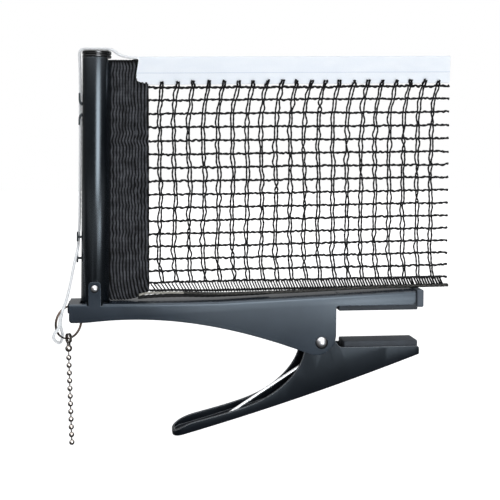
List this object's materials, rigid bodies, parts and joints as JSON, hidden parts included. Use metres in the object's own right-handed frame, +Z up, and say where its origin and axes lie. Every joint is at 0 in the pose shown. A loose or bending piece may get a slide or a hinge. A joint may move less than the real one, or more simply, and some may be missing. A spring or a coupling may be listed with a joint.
{
  "type": "table tennis net clamp",
  "caption": "Spring clamp for a table tennis table, with its slotted net post, the tape and mesh end of the net, the tension cord and a hanging ball chain.",
  "frame": {"origin": "on the face of the upper jaw pad, 25 mm in from the table edge and on the middle plane of the clamp, so it lies on the table top", "axes": "+X along the net towards the middle of the table, +Y along the table edge away from the viewer, +Z up from the table top"},
  "size_m": [0.2409, 0.0252, 0.2382],
  "materials": {
    "bracket_paint": "dark blue-grey powder coat, satin",
    "lever_paint": "near-black blue powder coat, satin",
    "jaw_pad": "blue-grey rubber, matt",
    "rivet_steel": "bright plated steel",
    "post_paint": "black gloss paint",
    "cap_plastic": "black moulded plastic",
    "cleat_steel": "black paint",
    "rod_steel": "plain steel",
    "sleeve_knit": "ribbed black knit",
    "tape_cloth": "white woven tape",
    "net_cord": "black knotted net",
    "hem_cord": "black rope and zigzag stitching",
    "pale_cord": "pale twisted cord",
    "white_cord": "white braided cord",
    "spring_steel": "bright spring wire",
    "ring_steel": "dark bronze plated steel",
    "chain_bronze": "dark bronze"
  },
  "bodies": {
    "bracket": {"bracket_channel": "bracket_paint", "upper_jaw_pad": "jaw_pad", "pivot_rivet": "rivet_steel", "post_tube": "post_paint", "post_cap": "cap_plastic", "post_rivet": "rivet_steel", "cord_cleat_upper": "cleat_steel", "cord_cleat_lower": "cleat_steel", "net_rod": "rod_steel", "net_sleeve": "sleeve_knit", "net_tape": "tape_cloth", "net_mesh": "net_cord", "net_hem": "hem_cord", "net_bottom_cord": "pale_cord", "tension_cord": "white_cord", "cord_tail": "white_cord", "torsion_spring": "spring_steel"},
    "lever": {"lever_channel": "lever_paint", "lower_jaw_pad": "jaw_pad"},
    "ring": {"split_ring": "ring_steel", "cord_loop": "white_cord"},
    "coupling": {"chain_coupling": "chain_bronze"},
    "chain": {"bead_chain": "chain_bronze"}
  },
  "joints": [
    {"name": "lever_pivot", "type": "hinge", "parent": "bracket", "child": "lever", "pos_m": [-0.0347, 0, -0.0186], "axis": [0, 1, 0], "range_deg": [-17.8, 30], "stiffness_Nm_per_rad": 0.8, "springref_deg": -114.59, "deforming": ["torsion_spring"]},
    {"name": "ring_swing", "type": "hinge", "parent": "bracket", "child": "ring", "pos_m": [-0.18545, 0, 0.004], "axis": [0, 1, 0], "range_deg": [0, 25], "deforming": ["cord_tail"]},
    {"name": "coupling_swing", "type": "hinge", "parent": "ring", "child": "coupling", "pos_m": [-0.18609, 0.0004, -0.0154], "axis": [0.7431, 0.6691, 0], "range_deg": [-30, 30]},
    {"name": "chain_swing", "type": "hinge", "parent": "coupling", "child": "chain", "pos_m": [-0.18609, 0.0004, -0.0216], "axis": [-0.6691, 0.7431, 0], "range_deg": [-40, 40]}
  ]
}
